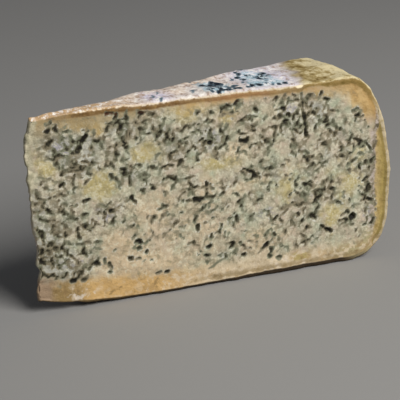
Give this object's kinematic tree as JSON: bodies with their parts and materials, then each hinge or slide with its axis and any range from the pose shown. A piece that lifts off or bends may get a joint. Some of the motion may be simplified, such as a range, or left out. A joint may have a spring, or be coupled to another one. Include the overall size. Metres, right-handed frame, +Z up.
{
  "type": "blue cheese wedge",
  "caption": "Tall thin wedge cut from a flat wheel of natural-rind blue cheese, standing on its base, with a rounded rind wall and pitted cut faces.",
  "frame": {"origin": "centre of the bounding box's underside, on the surface that the wedge stands on", "axes": "+X from the tip towards the rind wall, along the line that halves the wedge; -Y is the front cut face's side; +Z up"},
  "size_m": [0.1678, 0.0456, 0.0865],
  "materials": {
    "blue_cheese": "matt, crumbly"
  },
  "bodies": {
    "root": {"cheese_wedge": "blue_cheese"}
  },
  "joints": []
}
